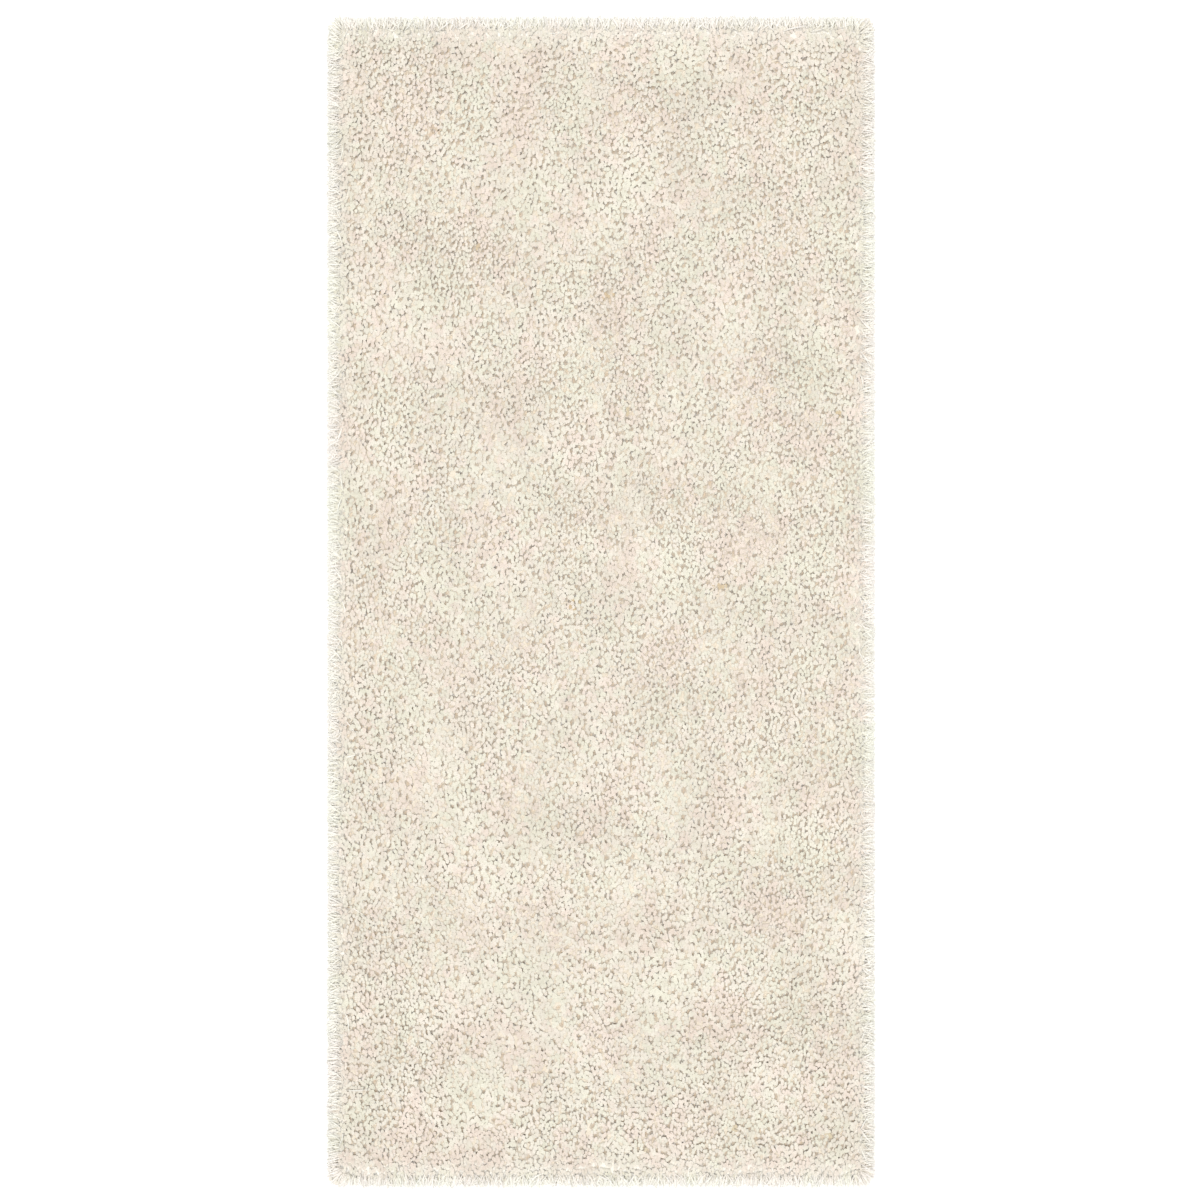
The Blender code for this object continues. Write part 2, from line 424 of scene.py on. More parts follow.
def bendYarns(x, y, z, headX, headY, length, startAngle, endAngle, curl, stretches):
    # points of yarns that start at x, y, z and bend over from startAngle to endAngle off the upright;
    # stretches lists the share of the length that each stretch takes
    points = np.zeros((len(x), len(stretches) + 1, 3))
    points[:, 0] = np.stack([x, y, z], axis=1)
    reached = np.cumsum(stretches)
    for i, part in enumerate(stretches):
        share = reached[i] - part / 2
        angle = startAngle + (endAngle - startAngle) * share
        step = length * part
        out, up = step * np.sin(angle), step * np.cos(angle)
        side = curl * step * math.sin(2 * math.pi * share * yarnShape["curlTurns"])
        points[:, i + 1, 0] = points[:, i, 0] + out * headX - side * headY
        points[:, i + 1, 1] = points[:, i, 1] + out * headY + side * headX
        points[:, i + 1, 2] = points[:, i, 2] + up
    return points


def ringPlaces(yarns, sides):
    # the vertices of each yarn: its rings, then its root and its tip; a blunt yarn has no tip of its own
    points, radii = yarns["points"], yarns["radii"]
    count, rings = len(points), points.shape[1] - 2
    along = np.diff(points, axis=1)
    along /= np.linalg.norm(along, axis=2, keepdims=True)
    across = np.stack([-yarns["headY"], yarns["headX"], np.zeros(count)], axis=1)
    places = np.zeros((count, sides * rings + 2, 3))
    for ring in range(rings):
        way = along[:, ring + 1] + along[:, ring]
        way /= np.linalg.norm(way, axis=1, keepdims=True)
        side = across - way * np.sum(across * way, axis=1, keepdims=True)
        side /= np.linalg.norm(side, axis=1, keepdims=True)
        rise = np.cross(way, side)
        for corner in range(sides):
            angle = (yarns["turn"] + corner * 2 * math.pi / sides + ring * yarnShape["twist"])[:, None]
            spoke = np.cos(angle) * side + np.sin(angle) * rise
            spoke *= radii[:, ring : ring + 1] * yarns["brushed"]
            places[:, sides * ring + corner] = points[:, ring + 1] + spoke
    places[:, -2] = points[:, 0]
    places[:, -1] = points[:, -1]
    return places[:, :-1] if yarns["blunt"] else places


def yarnFaces(rings, sides, blunt):
    # one yarn's faces, and for each corner how far round and how far along the yarn it lies
    quads, quadUv, ends, endUv = [], [], [], []
    steps = rings + 1
    root, tip = sides * rings, sides * rings + 1
    last = sides * (rings - 1)
    for corner in range(sides):
        after = (corner + 1) % sides
        left, right = corner / sides, (corner + 1) / sides
        middle = (left + right) / 2
        for ring in range(rings - 1):
            low, high = sides * ring, sides * (ring + 1)
            bottom, top = (ring + 1) / steps, (ring + 2) / steps
            quads.append((low + corner, low + after, high + after, high + corner))
            quadUv += [(left, bottom), (right, bottom), (right, top), (left, top)]
        ends.append((after, corner, root))
        endUv += [(right, 1 / steps), (left, 1 / steps), (middle, 0)]
        if not blunt:
            ends.append((last + corner, last + after, tip))
            endUv += [(left, 1 - 1 / steps), (right, 1 - 1 / steps), (middle, 1)]
    if blunt:
        ends.append(tuple(range(last, last + sides)))
        for corner in range(sides):
            angle = (corner + 0.5) / sides * 2 * math.pi
            endUv.append((0.5 + 0.5 * math.cos(angle), 1 - (0.5 - 0.5 * math.sin(angle)) / steps))
    return quads + ends, len(quads), np.array(quadUv + endUv)


def setAttribute(mesh, name, values):
    attribute = mesh.attributes.new(name, "FLOAT", "POINT")
    attribute.data.foreach_set("value", values.astype(np.float32))


def yarnMesh(name, yarns, sides):
    count, rings = len(yarns["points"]), yarns["points"].shape[1] - 2
    places = ringPlaces(yarns, sides)
    perYarn = places.shape[1]
    faces, smooth, local = yarnFaces(rings, sides, yarns["blunt"])
    corners = np.array([corner for face in faces for corner in face])
    loops = ((np.arange(count) * perYarn)[:, None] + corners[None]).ravel()
    sizes = np.tile([len(face) for face in faces], count)
    starts = np.concatenate([[0], np.cumsum(sizes)[:-1]])

    mesh = bpy.data.meshes.new(name)
    mesh.vertices.add(count * perYarn)
    mesh.vertices.foreach_set("co", places.astype(np.float32).ravel())
    mesh.loops.add(len(loops))
    mesh.loops.foreach_set("vertex_index", loops.astype(np.int32))
    mesh.polygons.add(len(sizes))
    mesh.polygons.foreach_set("loop_start", starts.astype(np.int32))
    mesh.polygons.foreach_set("use_smooth", np.arange(len(sizes)) % len(faces) < smooth)

    # every yarn has its own small square of the baking map, with a little room round it
    columns = math.ceil(math.sqrt(count))
    yarn = np.arange(count)
    cell = np.stack([yarn % columns, yarn // columns], axis=1)[:, None, :]
    bakeMap = mesh.uv_layers.new(name="OFBake")
    squares = (cell + yarnShape["mapRoom"] + yarnShape["mapShare"] * local[None]) / columns
    bakeMap.data.foreach_set("uv", squares.astype(np.float32).ravel())
    # and a map of its own surface: once round it, and millimetres along it
    lengths = np.linalg.norm(np.diff(yarns["points"], axis=1), axis=2).sum(axis=1) * 1000
    scale = np.stack([np.ones(count), lengths], axis=1)[:, None, :]
    roundMap = mesh.uv_layers.new(name="yarnRound")
    roundMap.data.foreach_set("uv", (local[None] * scale).astype(np.float32).ravel())

    # how far along the yarn each vertex lies: its rings, its root and, if it has one, its tip
    steps, ends = (rings, [0.0]) if yarns["blunt"] else (rings + 1, [0.0, 1.0])
    share = np.concatenate([np.repeat(np.arange(1, rings + 1) / steps, sides), ends])
    setAttribute(mesh, "yarnAlong", np.tile(share, count))
    setAttribute(mesh, "yarnShade", np.repeat(yarns["shade"], perYarn))
    setAttribute(mesh, "yarnWarm", np.repeat(yarns["warm"], perYarn))
    mesh.update(calc_edges=True)
    mesh.validate()
    piece = bpy.data.objects.new(name, mesh)
    bpy.context.scene.collection.objects.link(piece)
    return piece


# the yarn's finish: cream, with painted shade that makes it a little deeper towards the root, no two
# yarns quite alike

tanBelow = 0.05  # yarns shaded lower than this are tan

yarnLook = {
    # painted shade: darker towards the root, where shade falls deep in the pile
    "rootShadeColor": (0.752, 0.680, 0.577, 1),
    "midColor": (0.776, 0.724, 0.632, 1),
    "tipColor": (0.776, 0.724, 0.632, 1),
    "tanColor": (0.72, 0.60, 0.39, 1),  # of the few tan tufts, as a share of the cream
    "deepShade": (0.88, 0.87, 0.85, 1),  # the darkest yarns, as a share of the lightest
    "coolTint": (0.968, 1.0, 0.962, 1),
    "warmTint": (1.0, 0.932, 0.935, 1),
    "midPlace": 0.45,  # where along the yarn its middle colour is
    "roughness": 0.92,
    "shine": 0.2,
    "sheen": 1.0,
    "sheenRoughness": 0.55,
    "plies": 2,
    "twistPitch": 7.0,  # millimetres along the yarn for one turn
    # painted shade in the groove between the plies
    "grooveShade": 0.90,
    "grooveYellow": 0.98,  # share of the blue that is left in the groove
    "grooveWidth": 0.7,
    "plyRound": 0.6,  # how full the plies are, where 1 is a plain wave
    "grooveDepth": 0.00035,
}


def addNode(tree, kind, **values):
    made = tree.nodes.new(kind)
    for key, value in values.items():
        setattr(made, key, value)
    return made


def combine(tree, operation, first, second):
    # a Math node; each input is a socket or a number
    made = addNode(tree, "ShaderNodeMath", operation=operation)
    for socket, value in zip(made.inputs, (first, second)):
        if isinstance(value, (int, float)):
            socket.default_value = value
        else:
            tree.links.new(value, socket)
    return made.outputs["Value"]


def ramp(tree, factor, *stops):
    made = addNode(tree, "ShaderNodeValToRGB")
    elements = made.color_ramp.elements
    while len(elements) < len(stops):
        elements.new(0.5)
    for element, (position, color) in zip(elements, stops):
        element.position = position
        element.color = color
    tree.links.new(factor, made.inputs["Fac"])
    return made.outputs["Color"]


def blend(tree, factor, first, second):
    made = addNode(tree, "ShaderNodeMix", data_type="RGBA")
    tree.links.new(factor, made.inputs["Factor"])
    tree.links.new(first, made.inputs["A"])
    tree.links.new(second, made.inputs["B"])
    return made.outputs["Result"]


def multiply(tree, first, second):
    made = addNode(tree, "ShaderNodeMix", data_type="RGBA", blend_type="MULTIPLY")
    made.inputs["Factor"].default_value = 1.0
    tree.links.new(first, made.inputs["A"])
    tree.links.new(second, made.inputs["B"])
    return made.outputs["Result"]


def yarnMaterial(look):
    material = bpy.data.materials.new("creamYarn")
    material.use_nodes = True
    tree = material.node_tree
    shader = tree.nodes["Principled BSDF"]
    shader.inputs["Roughness"].default_value = look["roughness"]
    shader.inputs["Specular IOR Level"].default_value = look["shine"]
    shader.inputs["Sheen Weight"].default_value = look["sheen"]
    shader.inputs["Sheen Roughness"].default_value = look["sheenRoughness"]

    along = addNode(tree, "ShaderNodeAttribute", attribute_name="yarnAlong").outputs["Fac"]
    shade = addNode(tree, "ShaderNodeAttribute", attribute_name="yarnShade").outputs["Fac"]
    warm = addNode(tree, "ShaderNodeAttribute", attribute_name="yarnWarm").outputs["Fac"]
    middle = (look["midPlace"], look["midColor"])
    # painted shade along the yarn: darker towards the root
    color = ramp(tree, along, (0.0, look["rootShadeColor"]), middle, (1.0, look["tipColor"]))
    shades = ramp(tree, shade, (0.0, look["tanColor"]), (tanBelow, look["deepShade"]), (1.0, white))
    color = multiply(tree, color, shades)
    tints = ramp(tree, warm, (0.0, look["coolTint"]), (0.5, white), (1.0, look["warmTint"]))
    color = multiply(tree, color, tints)

    # the plies twist round each other, with a groove between them that painted shade darkens
    around = addNode(tree, "ShaderNodeUVMap", uv_map="yarnRound")
    split = addNode(tree, "ShaderNodeSeparateXYZ")
    tree.links.new(around.outputs["UV"], split.inputs["Vector"])
    rise = combine(tree, "DIVIDE", split.outputs["Y"], look["twistPitch"])
    turns = combine(tree, "ADD", split.outputs["X"], rise)
    wave = combine(tree, "SINE", combine(tree, "MULTIPLY", turns, look["plies"] * 2 * math.pi), 0)
    height = combine(tree, "ADD", combine(tree, "MULTIPLY", wave, 0.5), 0.5)
    ply = combine(tree, "POWER", height, look["plyRound"])
    groove = look["grooveShade"]
    grooveShadeColor = (groove, groove, groove * look["grooveYellow"], 1)
    color = multiply(tree, color, ramp(tree, ply, (0.0, grooveShadeColor), (look["grooveWidth"], white)))
    tree.links.new(color, shader.inputs["Base Color"])
    bump = addNode(tree, "ShaderNodeBump")
    bump.inputs["Distance"].default_value = look["grooveDepth"]
    tree.links.new(ply, bump.inputs["Height"])
    tree.links.new(bump.outputs["Normal"], shader.inputs["Normal"])
    return material


creamYarn = yarnMaterial(yarnLook)


def dress(piece, material, *nodes):
    piece.data.materials.append(material)
    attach(piece, "root")
    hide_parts(*nodes)
    return piece


def chooseYarns(yarns, own):
    # the yarns of one piece; what isn't a list goes for all of them
    shared = ("brushed", "blunt")
    return {key: values if key in shared else values[own] for key, values in yarns.items()}


# tones: each yarn's shade, from deep to light, and its warmth, from cool to warm

toneOfPile = {
    "shade": 0.62,
    "shadeChange": (0.20, 0.17),  # of the small and the large changes over the rug
    "shadeSpread": 0.045,  # a yarn's own
    "least": 0.06,  # just above the tan
    "warm": 0.47,
    "warmChange": (0.26, 0.22),
    "warmSpread": 0.03,
    "endsWarmer": 0.10,  # the rug's ends are warmer, and its corners twice as much
    "endFrom": 0.55,
    "endRun": 0.15,
    "cornerFrom": 0.20,
    "cornerRun": 0.10,
}


def tones(x, y):
    setup = toneOfPile
    count = len(x)
    small, large = setup["shadeChange"]
    shade = setup["shade"] + small * shadeClump(x, y) + large * shadeDrift(x, y)
    shade += rng.normal(0, setup["shadeSpread"], count)
    small, large = setup["warmChange"]
    warm = setup["warm"] + small * warmClump(x, y) + large * warmDrift(x, y)
    warm += rng.normal(0, setup["warmSpread"], count)
    nearEnd = np.clip((np.abs(y) - setup["endFrom"]) / setup["endRun"], 0, 1)
    nearCorner = np.clip((np.abs(x) - setup["cornerFrom"]) / setup["cornerRun"], 0, 1)
    warm += setup["endsWarmer"] * nearEnd * (1 + nearCorner)
    return np.clip(shade, setup["least"], 1), np.clip(warm, 0, 1)


# the pile: yarns in rows along the rug, made in strips

pile = {
    "strips": 12,
    "pitch": (0.0032, 0.0043),  # across and along the rug
    "jitter": 0.30,  # share of the pitch
    "edgeInset": (0.0055, 0.0065),  # of the outermost yarns' roots, at the sides and at the ends
    "cornerRadius": 0.010,
    "shortfall": (0.003, 0.008),  # how much short of the outline their tips may end
    "shortfallShape": (1.0, 1.6),  # most end near the outline
    "leastShortfall": 0.001,
    "rootDepth": 0.009,  # how deep in the lower pile the yarns start
    "top": 0.0345,  # height of an upright yarn's tip over the floor
    "topSpread": 0.0003,  # chance differences of that height
    "edgeShorter": 0.0020,  # how much shorter they stand at the edge
    "radius": 0.00236,
    "radiusSpread": 0.0002,
    "brushed": (0.90, 1.25, 1.0),  # yarns are brushed wider along the rug than across it
    "rings": ((0.96, 1.0), (0.04, 0)),  # share of the length, of the radius
    "crowding": (0.9, 1.0, 1.0),  # how much a root, a ring and a tip give way to a pit
    "sides": 5,
    "startAngle": (2, 14),  # degrees off the upright where a yarn comes out of the lower pile
    "endAngle": (2, 28),  # and at its tip, from a light lean to a strong one
    "endAngleSpread": 7,
    "strongLean": 1.9,  # the lean at which a yarn bends the most
    "curl": 0.30,
    "pitFade": 2,  # the pits reach their full size at half of the run in
    "edgePaleRun": 0.5,  # share of the run in over which the edge's paler yarns and painted light fade out
    "edgePale": 0.5,  # how much lighter their shade is at the very edge: partly paler yarn, partly painted light that lifts the shade on the shoulder
    "edgeCooler": 0.6,  # and how much of their warmth they lose
    "splayRun": 0.038,  # how far from the edge the yarns begin to lean outwards
    "splay": 1.6,
}


def insideRounded(x, y, halfX, halfY, radius):
    overX = np.maximum(np.abs(x) - (halfX - radius), 0)
    overY = np.maximum(np.abs(y) - (halfY - radius), 0)
    return (np.abs(x) < halfX) & (np.abs(y) < halfY) & (overX**2 + overY**2 < radius**2)


def pileYarns(setup):
    insetX, insetY = setup["edgeInset"]
    insideX, insideY = halfWidth - insetX, halfLength - insetY
    pitchX, pitchY = setup["pitch"]
    acrossRug, alongRug = np.arange(-insideX, insideX, pitchX), np.arange(-insideY, insideY, pitchY)
    x, y = np.meshgrid(acrossRug, alongRug, indexing="ij")
    y[1::2] += pitchY / 2
    x = x.ravel() + rng.uniform(-1, 1, x.size) * setup["jitter"] * pitchX
    y = y.ravel() + rng.uniform(-1, 1, y.size) * setup["jitter"] * pitchY
    keep = insideRounded(x, y, insideX, insideY, setup["cornerRadius"])
    x, y = x[keep], y[keep]
    count = len(x)
    leanX, leanY = leanAt(x, y)
    leanX += rng.normal(0, layOfPile["looseLean"][0], count)
    leanY += rng.normal(0, layOfPile["looseLean"][1], count)
    run = setup["splayRun"]
    leanX += setup["splay"] * np.sign(x) * np.clip((np.abs(x) - insideX + run) / run, 0, 1) ** 2
    leanY += setup["splay"] * np.sign(y) * np.clip((np.abs(y) - insideY + run) / run, 0, 1) ** 2
    lean = np.hypot(leanX, leanY) + tiny
    bend = np.clip(lean / setup["strongLean"], 0, 1)
    low, high = setup["startAngle"]
    start = np.radians(low + (high - low) * bend)
    low, high = setup["endAngle"]
    end = np.radians(low + (high - low) * bend + rng.normal(0, setup["endAngleSpread"], count))
    rise, inward = lowerRise(x, y)
    z = np.maximum(rise * lowerPile["height"] - setup["rootDepth"], setup["radius"])
    length = setup["top"] - lowerPile["height"] + setup["rootDepth"]
    length = length + heightAt(x, y) + rng.normal(0, setup["topSpread"], count)
    atEdge = 1 - np.clip(inward / setup["edgePaleRun"], 0, 1)
    length -= setup["edgeShorter"] * atEdge
    curl = rng.normal(0, setup["curl"], count)
    shares, widths = np.array(setup["rings"]).T
    headX, headY = leanX / lean, leanY / lean
    points = bendYarns(x, y, z, headX, headY, length, start, end, curl, shares)
    moveX, moveY = crowdRound(points[:, -1, 0], points[:, -1, 1], pits)
    inside = np.clip(setup["pitFade"] * inward, 0, 1)
    for ring, part in enumerate(setup["crowding"]):
        points[:, ring, 0] += part * moveX * inside
        points[:, ring, 1] += part * moveY * inside
    short = rng.beta(*setup["shortfallShape"], count)
    farX, farY = halfWidth - setup["leastShortfall"], halfLength - setup["leastShortfall"]
    holdIn(points, farX - short * setup["shortfall"][0], farY - short * setup["shortfall"][1])
    radius = setup["radius"] * fullnessAt(x, y) + rng.uniform(-1, 1, count) * setup["radiusSpread"]
    shade, warm = tones(x, y)
    # the edge's yarns are lighter, partly painted light over the shoulder's shade
    shade = np.clip(shade + setup["edgePale"] * atEdge, toneOfPile["least"], 1)
    for spotX, spotY, sizeX, sizeY, tan in layOfPile["tanTufts"]:
        shade[np.hypot((x - spotX) / sizeX, (y - spotY) / sizeY) < 1] = tanBelow * (1 - tan)
    warm = warm * (1 - setup["edgeCooler"] * atEdge)
    return {
        "x": x,
        "points": points,
        "radii": radius[:, None] * widths[None, :-1],
        "headX": headX,
        "headY": headY,
        "turn": rng.uniform(0, 2 * math.pi, count),
        "brushed": np.array(setup["brushed"]),
        "blunt": True,
        "shade": shade,
        "warm": warm,
    }


yarns = pileYarns(pile)
pilePieces = []
edges = np.linspace(-halfWidth, halfWidth, pile["strips"] + 1)
for strip in range(pile["strips"]):
    own = (yarns["x"] >= edges[strip]) & (yarns["x"] < edges[strip + 1])
    piece = yarnMesh(f"pile_{strip + 1:02d}", chooseYarns(yarns, own), pile["sides"])
    pilePieces.append(dress(piece, creamYarn, "pile"))
print("pile:", len(yarns["x"]), "yarns in", pile["strips"], "strips")


# the rim: finer, paler strands that lie outwards over the pile's shoulder all round; their paleness is
# partly their own colour and partly painted light that lifts the shade on their sloping sides

rim = {
    # distances of the roots from the outline
    "rows": (0.0035, 0.005, 0.007, 0.0095, 0.0125, 0.016, 0.0205),
    "pitch": 0.0018,  # along the rug's outline
    "jitter": 0.0012,
    "cornerRadius": 0.024,
    "cornerSquareness": 6.0,
    "cornerCrowd": 1.5,  # strands at a corner, for each one that would stand along its radius
    "cornerFollow": 0.7,  # how closely the inner rows follow the outline there
    "shortfall": (0.0062, 0.013),  # how far strands may end apart, at the sides and at the ends
    "shortfallShape": 1.6,
    "beyond": (0.0055, 0.0075),  # the farthest, past the outline
    "farthest": (0.006, 0.008),  # past the outline, for those that curl
    "shortest": 0.002,
    "lift": (-0.001, 0.004),  # of the roots over the lower pile, and how much more they may have inside
    "radius": 0.00100,
    "thickness": (0.75, 1.25),  # shares of that radius
    "flatness": 0.9,  # how near their middles come to the floor, as a share of the radius
    "tipFlatness": 0.6,
    "rings": ((0.45, 1.0), (0.55, 0)),  # share of the length, of the radius
    "sides": 3,
    "startAngle": (72, 66),  # degrees off the upright, outermost row and innermost
    "endAngle": (102, 92),
    "angleSpread": 11,
    "angleLimits": (-14, 24),
    "fan": 0.36,  # how far strands point past each other
    "fanLean": 0.4,  # share of that which follows the lean of the pile
    "facing": 0.75,  # the least that a strand points outwards
    "curl": 0.20,
    "warmth": 0.6,  # share of the pile's
}

rimLook = {
    # paler colours than the pile's: partly the strands' own, partly painted light that lifts their shade;
    # the root is darker with painted shade
    "rootShadeColor": (0.885, 0.835, 0.76, 1),
    "midColor": (0.885, 0.842, 0.778, 1),
    "tipColor": (0.905, 0.886, 0.852, 1),
    "deepShade": (0.96, 0.955, 0.94, 1),
    "grooveShade": 0.97,
}


def rimRow(setup, inset):
    # roots of one row round the rug, the way out from each, and how far out the outline is
    radius = setup["cornerRadius"]
    centerX, centerY = halfWidth - radius, halfLength - radius
    quarter = []
    alongY = np.arange(0, centerY, setup["pitch"])
    here, ones = np.full_like(alongY, centerX), np.ones_like(alongY)
    quarter.append(np.stack([here, alongY, ones, 0 * alongY], axis=1))
    count = round(radius * setup["cornerCrowd"] / setup["pitch"])
    angle = (np.arange(count) + 0.5) / count * math.pi / 2
    ones = np.ones(count)
    quarter.append(np.stack([centerX * ones, centerY * ones, np.cos(angle), np.sin(angle)], axis=1))
    alongX = np.arange(centerX, 0, -setup["pitch"])
    here, ones = np.full_like(alongX, centerY), np.ones_like(alongX)
    quarter.append(np.stack([alongX, here, 0 * alongX, ones], axis=1))
    quarter = np.concatenate(quarter)
    outX, outY = quarter[:, 2], quarter[:, 3]
    power = setup["cornerSquareness"]
    outline = radius * (outX**power + outY**power) ** (-1 / power)
    rootAt = (radius - inset) * (outline / radius) ** setup["cornerFollow"]
    rows = []
    for signX, signY in ((1, 1), (-1, 1), (-1, -1), (1, -1)):
        turned = quarter * np.array([signX, signY, signX, signY])
        roots = turned[:, :2] + rootAt[:, None] * turned[:, 2:]
        rows.append(np.concatenate([roots, turned[:, 2:], (outline - rootAt)[:, None]], axis=1))
    return np.concatenate(rows)


def rimYarns(setup):
    rows = []
    for row, inset in enumerate(setup["rows"]):
        found = rimRow(setup, inset)
        inner = row / (len(setup["rows"]) - 1)
        rows.append(np.concatenate([found, np.full((len(found), 1), inner)], axis=1))
    x, y, outX, outY, reach, inner = np.concatenate(rows).T
    count = len(x)
    alongEdge = rng.uniform(-1, 1, count) * setup["jitter"]
    x = x - outY * alongEdge
    y = y + outX * alongEdge
    atEnds = np.abs(outY) > np.abs(outX)
    side, end = setup["shortfall"]
    shape = setup["shortfallShape"]
    short = (side + (end - side) * outY**2) * rng.beta(shape, shape, count)
    side, end = setup["beyond"]
    reach = np.maximum(reach + side + (end - side) * outY**2 - short, setup["shortest"])
    leanX, leanY = leanAt(x, y)
    headX = outX + setup["fan"] * (setup["fanLean"] * leanX + rng.normal(0, 1, count))
    headY = outY + setup["fan"] * (setup["fanLean"] * leanY + rng.normal(0, 1, count))
    size = np.hypot(headX, headY)
    headX, headY = headX / size, headY / size
    spread = np.clip(rng.normal(0, setup["angleSpread"], count), *setup["angleLimits"])
    low, high = setup["startAngle"]
    start = np.radians(low + (high - low) * inner + spread)
    low, high = setup["endAngle"]
    end = np.radians(low + (high - low) * inner + spread)
    shares, widths = np.array(setup["rings"]).T
    middles = np.cumsum(shares) - shares / 2
    forward = sum(part * np.sin(start + (end - start) * at) for part, at in zip(shares, middles))
    facing = np.maximum(headX * outX + headY * outY, setup["facing"])
    length = reach / forward / facing
    rise, _ = lowerRise(x, y)
    lift, innerLift = setup["lift"]
    z = rise * lowerPile["height"] + lift + innerLift * inner * rng.random(count)
    curl = rng.normal(0, setup["curl"], count)
    points = bendYarns(x, y, z, headX, headY, length, start, end, curl, shares)
    farX, farY = setup["farthest"]
    holdIn(points, halfWidth + farX, halfLength + farY)
    radii = setup["radius"] * rng.uniform(*setup["thickness"], count)[:, None] * widths[None, :-1]
    # strands come to rest on the floor
    lowest = np.concatenate([radii[:, :1], radii, radii[:, -1:] * setup["tipFlatness"]], axis=1)
    lowest *= setup["flatness"]
    points[:, :, 2] = np.maximum(points[:, :, 2], lowest)
    shade, warm = tones(x, y)
    yarns = {
        "points": points,
        "radii": radii,
        "headX": headX,
        "headY": headY,
        "turn": rng.uniform(0, 2 * math.pi, count),
        "brushed": np.ones(3),
        "blunt": False,
        "shade": shade,
        "warm": warm * setup["warmth"],
    }
    return atEnds, yarns


rimYarn = yarnMaterial({**yarnLook, **rimLook})
atEnds, yarns = rimYarns(rim)
for name, own in (("rim_ends", atEnds), ("rim_sides", ~atEnds)):
    piece = yarnMesh(name, chooseYarns(yarns, own), rim["sides"])
    pilePieces.append(dress(piece, rimYarn, "pile"))
print("rim:", len(atEnds), "strands")


def gridFaces(index):
    corners = [index[:-1, :-1], index[1:, :-1], index[1:, 1:], index[:-1, 1:]]
    return np.stack(corners, axis=-1).reshape(-1, 4)


def roundCorners(gx, gy, halfX, halfY, radius):
    # pulls a square grid's corners in to an arc
    u = np.clip((np.abs(gx) - (halfX - radius)) / radius, 0, 1)
    v = np.clip((np.abs(gy) - (halfY - radius)) / radius, 0, 1)
    both = (u > 0) & (v > 0)
    newX = np.sign(gx) * (halfX - radius + radius * u * np.sqrt(1 - v * v / 2))
    newY = np.sign(gy) * (halfY - radius + radius * v * np.sqrt(1 - u * u / 2))
    return np.where(both, newX, gx), np.where(both, newY, gy)


def gridBorder(index):
    # the grid's outermost points, in order round it
    return np.concatenate([index[:-1, 0], index[-1, :-1], index[:0:-1, -1], index[0, :0:-1]])


def spreadMoves(moves, rows):
    # from one value for each pit to one for each point of a grid twice as fine
    countX, countY = moves.shape
    columns = np.zeros((countX, rows))
    for column in range(countX):
        at = 2 * np.arange(countY) + 1 + column % 2
        columns[column] = np.interp(np.arange(rows), at, moves[column])
    between = (columns[1:] + columns[:-1]) / 2
    spread = np.zeros((2 * countX + 1, rows))
    spread[1::2] = columns
    spread[2:-1:2] = between
    return spread


def lowerPileMesh(setup):
    places = pitPlaces
    countX, countY = places["x"].shape
    halfX, halfY = countX * places["pitch"][0] / 2, countY * places["pitch"][1] / 2
    acrossRug = np.linspace(-halfX, halfX, 2 * countX + 1)
    alongRug = np.linspace(-halfY, halfY, 2 * countY + 1)
    gx, gy = np.meshgrid(acrossRug, alongRug, indexing="ij")
    rise, inward = lowerRise(gx, gy)
    inner = inward > 0
    low, high = setup["edgeRun"]
    paleAndLit = 1 - np.clip((inward - low) / (high - low), 0, 1)
    gx = gx + spreadMoves(places["moveX"], gx.shape[1]) * inner
    gy = gy + spreadMoves(places["moveY"], gy.shape[1]) * inner
    dip = np.zeros(gx.shape)
    for column in range(countX):
        rows = 2 * np.arange(countY) + 1 + column % 2
        dip[2 * column + 1, rows] = places["open"][column] * np.clip(places["size"][column], 0, 1)
    dip *= np.clip(setup["dipFade"] * inward, 0, 1)
    gz = rise * (setup["height"] + heightAt(gx, gy) - dip * setup["dipDepth"])
    gz += rng.uniform(-1, 1, gx.shape) * setup["unevenness"] * rise
    overTop, overUnder = setup["overBacking"]
    gz = np.maximum(gz, backingTop + overTop)
    gx, gy = roundCorners(gx, gy, halfX, halfY, setup["cornerRadius"])
    top = np.stack([gx, gy, gz], axis=-1).reshape(-1, 3)
    index = np.arange(len(top)).reshape(gx.shape)
    faces = gridFaces(index)
    # underneath: a skirt just over the floor round the backing, and a flat face on top of it
    border = gridBorder(index)
    around = top[border]
    beside = setup["besideBacking"]
    under = np.array([(backingHalfWidth + beside) / halfX, (backingHalfLength + beside) / halfY])
    rings = [around.copy(), around.copy(), around.copy()]
    rings[0][:, 2] = setup["skirt"]
    for ring, z in ((rings[1], setup["skirt"]), (rings[2], backingTop + overUnder)):
        ring[:, :2] *= under
        ring[:, 2] = z
    count = len(border)
    here = np.arange(count)
    after = (here + 1) % count
    rows = [border] + [len(top) + i * count + here for i in range(3)]
    walls = []
    for upper, lower in zip(rows, rows[1:]):
        walls.append(np.stack([lower, lower[after], upper[after], upper], axis=1))
    everything = np.concatenate([top] + rings)
    faceList = [tuple(face) for face in np.concatenate([faces] + walls).tolist()]
    faceList.append(tuple(rows[-1][::-1].tolist()))
    mesh = bpy.data.meshes.new("lower_pile")
    mesh.from_pydata(everything.tolist(), [], faceList)
    mesh.update()
    setAttribute(mesh, "edgePale", np.concatenate([paleAndLit.ravel(), np.ones(3 * count)]))
    setAttribute(mesh, "dip", np.concatenate([dip.ravel(), np.zeros(3 * count)]))
    piece = bpy.data.objects.new("lower_pile", mesh)
    bpy.context.scene.collection.objects.link(piece)
    return piece


